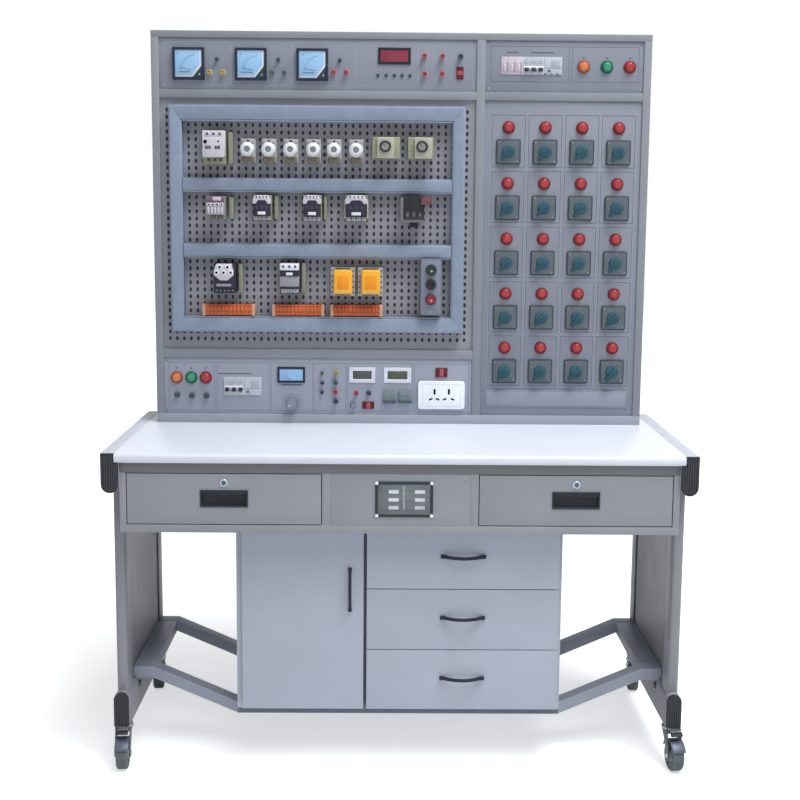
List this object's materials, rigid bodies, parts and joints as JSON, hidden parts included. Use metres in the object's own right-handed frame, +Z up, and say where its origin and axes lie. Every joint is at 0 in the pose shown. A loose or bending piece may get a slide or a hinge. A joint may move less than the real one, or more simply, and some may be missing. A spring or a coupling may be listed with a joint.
{
  "type": "electrical control training bench",
  "caption": "Wheeled worktable with apron drawers and a pedestal, carrying an upright console of meters, relays on a pegboard, pilot lamps and rotary cam switches.",
  "frame": {"origin": "on the floor under the middle of the table's outline", "axes": "+X to the right of a person facing the console, +Y from the worktop's front edge to the back, +Z up"},
  "size_m": [1.4, 0.65, 1.804],
  "materials": {
    "worktop_laminate": "high-pressure laminate, white with a blue tint, satin",
    "frame_paint": "grey powder coat, fine orange peel",
    "end_cap_plastic": "ribbed black plastic",
    "apron_paint": "mid grey powder coat",
    "carcass_board": "grey melamine-faced board",
    "front_board": "light blue-grey melamine-faced board",
    "console_paint": "olive-grey powder coat",
    "panel_paint": "grey-lavender printed panel",
    "pegboard_paint": "darker grey perforated sheet",
    "duct_plastic": "blue-grey moulded plastic",
    "switch_plate_plastic": "light grey moulded plates",
    "knob_teal": "teal moulded knobs",
    "lamp_lens": "translucent coloured lenses in plastic bezels",
    "meter_plastic": "white scales under clear fronts",
    "relay_plastic": "white, black and amber moulded cases",
    "fuse_ceramic": "ivory glazed bodies",
    "strip_orange": "orange terminal blocks with beige ends",
    "breaker_plastic": "white moulded cases",
    "lever_black": "black toggles",
    "socket_white": "white moulded plate",
    "button_box_grey": "grey moulded box",
    "button_green": "green cap",
    "button_black": "black cap",
    "button_red": "red cap",
    "window_plastic": "dark box with a clear cover",
    "regulator_grey": "grey moulded knob",
    "caster_steel": "zinc-plated pressed steel",
    "caster_tread": "grey-green rubber"
  },
  "bodies": {
    "bench": {"worktop": "worktop_laminate", "side_frames": "frame_paint", "frame_end_caps": "end_cap_plastic", "base_frame": "frame_paint", "apron_case": "apron_paint", "window_unit": "window_plastic", "pedestal_carcass": "carcass_board", "console_shell": "console_paint", "front_panels": "panel_paint", "pegboard": "pegboard_paint", "wire_ducts": "duct_plastic", "rotary_control_bodies": "switch_plate_plastic", "pilot_lamps": "lamp_lens", "panel_meters": "meter_plastic", "circuit_breakers": "breaker_plastic", "mains_socket": "socket_white", "relays_and_contactors": "relay_plastic", "fuse_holders": "fuse_ceramic", "terminal_strips": "strip_orange", "button_box": "button_box_grey"},
    "caster_fork_front_left": {"caster_fork_front_left": "caster_steel"},
    "caster_wheel_front_left": {"caster_wheel_front_left": "caster_tread"},
    "caster_fork_front_right": {"caster_fork_front_right": "caster_steel"},
    "caster_wheel_front_right": {"caster_wheel_front_right": "caster_tread"},
    "caster_fork_rear_left": {"caster_fork_rear_left": "caster_steel"},
    "caster_wheel_rear_left": {"caster_wheel_rear_left": "caster_tread"},
    "caster_fork_rear_right": {"caster_fork_rear_right": "caster_steel"},
    "caster_wheel_rear_right": {"caster_wheel_rear_right": "caster_tread"},
    "apron_drawer_left": {"apron_drawer_left": "apron_paint"},
    "apron_drawer_right": {"apron_drawer_right": "apron_paint"},
    "pedestal_drawer_top": {"pedestal_drawer_top": "front_board"},
    "pedestal_drawer_middle": {"pedestal_drawer_middle": "front_board"},
    "pedestal_drawer_bottom": {"pedestal_drawer_bottom": "front_board"},
    "cabinet_door": {"cabinet_door": "front_board"},
    "cam_knob_1_1": {"cam_knob_1_1": "knob_teal"},
    "cam_knob_1_2": {"cam_knob_1_2": "knob_teal"},
    "cam_knob_1_3": {"cam_knob_1_3": "knob_teal"},
    "cam_knob_1_4": {"cam_knob_1_4": "knob_teal"},
    "cam_knob_2_1": {"cam_knob_2_1": "knob_teal"},
    "cam_knob_2_2": {"cam_knob_2_2": "knob_teal"},
    "cam_knob_2_3": {"cam_knob_2_3": "knob_teal"},
    "cam_knob_2_4": {"cam_knob_2_4": "knob_teal"},
    "cam_knob_3_1": {"cam_knob_3_1": "knob_teal"},
    "cam_knob_3_2": {"cam_knob_3_2": "knob_teal"},
    "cam_knob_3_3": {"cam_knob_3_3": "knob_teal"},
    "cam_knob_3_4": {"cam_knob_3_4": "knob_teal"},
    "cam_knob_4_1": {"cam_knob_4_1": "knob_teal"},
    "cam_knob_4_2": {"cam_knob_4_2": "knob_teal"},
    "cam_knob_4_3": {"cam_knob_4_3": "knob_teal"},
    "cam_knob_4_4": {"cam_knob_4_4": "knob_teal"},
    "cam_knob_5_1": {"cam_knob_5_1": "knob_teal"},
    "cam_knob_5_2": {"cam_knob_5_2": "knob_teal"},
    "cam_knob_5_3": {"cam_knob_5_3": "knob_teal"},
    "cam_knob_5_4": {"cam_knob_5_4": "knob_teal"},
    "regulator_knob": {"regulator_knob": "regulator_grey"},
    "breaker_lever_upper": {"breaker_lever_upper": "lever_black"},
    "breaker_lever_lower": {"breaker_lever_lower": "lever_black"},
    "push_button_green": {"push_button_green": "button_green"},
    "push_button_black": {"push_button_black": "button_black"},
    "push_button_red": {"push_button_red": "button_red"}
  },
  "joints": [
    {"name": "swivel_front_left", "type": "hinge", "parent": "bench", "child": "caster_fork_front_left", "pos_m": [-0.6735, -0.245, 0.104], "axis": [0, 0, 1], "continuous": true},
    {"name": "roll_front_left", "type": "hinge", "parent": "caster_fork_front_left", "child": "caster_wheel_front_left", "pos_m": [-0.67141, -0.27493, 0.0375], "axis": [0.9976, 0.0698, 0], "continuous": true},
    {"name": "swivel_front_right", "type": "hinge", "parent": "bench", "child": "caster_fork_front_right", "pos_m": [0.6735, -0.245, 0.104], "axis": [0, 0, 1], "continuous": true},
    {"name": "roll_front_right", "type": "hinge", "parent": "caster_fork_front_right", "child": "caster_wheel_front_right", "pos_m": [0.67768, -0.27471, 0.0375], "axis": [0.9903, 0.1392, 0], "continuous": true},
    {"name": "swivel_rear_left", "type": "hinge", "parent": "bench", "child": "caster_fork_rear_left", "pos_m": [-0.6735, 0.245, 0.104], "axis": [0, 0, 1], "continuous": true},
    {"name": "roll_rear_left", "type": "hinge", "parent": "caster_fork_rear_left", "child": "caster_wheel_rear_left", "pos_m": [-0.67559, 0.27493, 0.0375], "axis": [-0.9976, -0.0698, 0], "continuous": true},
    {"name": "swivel_rear_right", "type": "hinge", "parent": "bench", "child": "caster_fork_rear_right", "pos_m": [0.6735, 0.245, 0.104], "axis": [0, 0, 1], "continuous": true},
    {"name": "roll_rear_right", "type": "hinge", "parent": "caster_fork_rear_right", "child": "caster_wheel_rear_right", "pos_m": [0.67559, 0.27493, 0.0375], "axis": [-0.9976, 0.0698, 0], "continuous": true},
    {"name": "apron_drawer_left_slide", "type": "slide", "parent": "bench", "child": "apron_drawer_left", "axis": [0, -1, 0], "range_m": [0, 0.34]},
    {"name": "apron_drawer_right_slide", "type": "slide", "parent": "bench", "child": "apron_drawer_right", "axis": [0, -1, 0], "range_m": [0, 0.34]},
    {"name": "pedestal_drawer_top_slide", "type": "slide", "parent": "bench", "child": "pedestal_drawer_top", "axis": [0, -1, 0], "range_m": [0, 0.36]},
    {"name": "pedestal_drawer_middle_slide", "type": "slide", "parent": "bench", "child": "pedestal_drawer_middle", "axis": [0, -1, 0], "range_m": [0, 0.36]},
    {"name": "pedestal_drawer_bottom_slide", "type": "slide", "parent": "bench", "child": "pedestal_drawer_bottom", "axis": [0, -1, 0], "range_m": [0, 0.36]},
    {"name": "door_hinge", "type": "hinge", "parent": "bench", "child": "cabinet_door", "pos_m": [-0.381, -0.2363, 0.37], "axis": [0, 0, -1], "range_deg": [0, 105]},
    {"name": "cam_knob_1_1_turn", "type": "hinge", "parent": "bench", "child": "cam_knob_1_1", "pos_m": [0.278, 0.131, 1.5055], "axis": [0, 1, 0], "range_deg": [0, 90]},
    {"name": "cam_knob_1_2_turn", "type": "hinge", "parent": "bench", "child": "cam_knob_1_2", "pos_m": [0.3733, 0.131, 1.5055], "axis": [0, 1, 0], "range_deg": [0, 90]},
    {"name": "cam_knob_1_3_turn", "type": "hinge", "parent": "bench", "child": "cam_knob_1_3", "pos_m": [0.4686, 0.131, 1.5055], "axis": [0, 1, 0], "range_deg": [0, 90]},
    {"name": "cam_knob_1_4_turn", "type": "hinge", "parent": "bench", "child": "cam_knob_1_4", "pos_m": [0.5639, 0.131, 1.5055], "axis": [0, 1, 0], "range_deg": [0, 90]},
    {"name": "cam_knob_2_1_turn", "type": "hinge", "parent": "bench", "child": "cam_knob_2_1", "pos_m": [0.278, 0.131, 1.3623], "axis": [0, 1, 0], "range_deg": [0, 90]},
    {"name": "cam_knob_2_2_turn", "type": "hinge", "parent": "bench", "child": "cam_knob_2_2", "pos_m": [0.3733, 0.131, 1.3623], "axis": [0, 1, 0], "range_deg": [0, 90]},
    {"name": "cam_knob_2_3_turn", "type": "hinge", "parent": "bench", "child": "cam_knob_2_3", "pos_m": [0.4686, 0.131, 1.3623], "axis": [0, 1, 0], "range_deg": [0, 90]},
    {"name": "cam_knob_2_4_turn", "type": "hinge", "parent": "bench", "child": "cam_knob_2_4", "pos_m": [0.5639, 0.131, 1.3623], "axis": [0, 1, 0], "range_deg": [0, 90]},
    {"name": "cam_knob_3_1_turn", "type": "hinge", "parent": "bench", "child": "cam_knob_3_1", "pos_m": [0.278, 0.131, 1.2191], "axis": [0, 1, 0], "range_deg": [0, 90]},
    {"name": "cam_knob_3_2_turn", "type": "hinge", "parent": "bench", "child": "cam_knob_3_2", "pos_m": [0.3733, 0.131, 1.2191], "axis": [0, 1, 0], "range_deg": [0, 90]},
    {"name": "cam_knob_3_3_turn", "type": "hinge", "parent": "bench", "child": "cam_knob_3_3", "pos_m": [0.4686, 0.131, 1.2191], "axis": [0, 1, 0], "range_deg": [0, 90]},
    {"name": "cam_knob_3_4_turn", "type": "hinge", "parent": "bench", "child": "cam_knob_3_4", "pos_m": [0.5639, 0.131, 1.2191], "axis": [0, 1, 0], "range_deg": [0, 90]},
    {"name": "cam_knob_4_1_turn", "type": "hinge", "parent": "bench", "child": "cam_knob_4_1", "pos_m": [0.278, 0.131, 1.0759], "axis": [0, 1, 0], "range_deg": [0, 90]},
    {"name": "cam_knob_4_2_turn", "type": "hinge", "parent": "bench", "child": "cam_knob_4_2", "pos_m": [0.3733, 0.131, 1.0759], "axis": [0, 1, 0], "range_deg": [0, 90]},
    {"name": "cam_knob_4_3_turn", "type": "hinge", "parent": "bench", "child": "cam_knob_4_3", "pos_m": [0.4686, 0.131, 1.0759], "axis": [0, 1, 0], "range_deg": [0, 90]},
    {"name": "cam_knob_4_4_turn", "type": "hinge", "parent": "bench", "child": "cam_knob_4_4", "pos_m": [0.5639, 0.131, 1.0759], "axis": [0, 1, 0], "range_deg": [0, 90]},
    {"name": "cam_knob_5_1_turn", "type": "hinge", "parent": "bench", "child": "cam_knob_5_1", "pos_m": [0.278, 0.131, 0.9327], "axis": [0, 1, 0], "range_deg": [0, 90]},
    {"name": "cam_knob_5_2_turn", "type": "hinge", "parent": "bench", "child": "cam_knob_5_2", "pos_m": [0.3733, 0.131, 0.9327], "axis": [0, 1, 0], "range_deg": [0, 90]},
    {"name": "cam_knob_5_3_turn", "type": "hinge", "parent": "bench", "child": "cam_knob_5_3", "pos_m": [0.4686, 0.131, 0.9327], "axis": [0, 1, 0], "range_deg": [0, 90]},
    {"name": "cam_knob_5_4_turn", "type": "hinge", "parent": "bench", "child": "cam_knob_5_4", "pos_m": [0.5639, 0.131, 0.9327], "axis": [0, 1, 0], "range_deg": [0, 90]},
    {"name": "regulator_turn", "type": "hinge", "parent": "bench", "child": "regulator_knob", "pos_m": [-0.285, 0.131, 0.842], "axis": [0, 1, 0], "range_deg": [0, 270]},
    {"name": "breaker_lever_upper_flip", "type": "hinge", "parent": "bench", "child": "breaker_lever_upper", "pos_m": [0.339, 0.135, 1.718], "axis": [-1, 0, 0], "range_deg": [0, 70]},
    {"name": "breaker_lever_lower_flip", "type": "hinge", "parent": "bench", "child": "breaker_lever_lower", "pos_m": [-0.438, 0.135, 0.884], "axis": [-1, 0, 0], "range_deg": [0, 70]},
    {"name": "push_button_green_press", "type": "slide", "parent": "bench", "child": "push_button_green", "axis": [0, 1, 0], "range_m": [0, 0.004], "stiffness_N_per_m": 300},
    {"name": "push_button_black_press", "type": "slide", "parent": "bench", "child": "push_button_black", "axis": [0, 1, 0], "range_m": [0, 0.004], "stiffness_N_per_m": 300},
    {"name": "push_button_red_press", "type": "slide", "parent": "bench", "child": "push_button_red", "axis": [0, 1, 0], "range_m": [0, 0.004], "stiffness_N_per_m": 300}
  ]
}
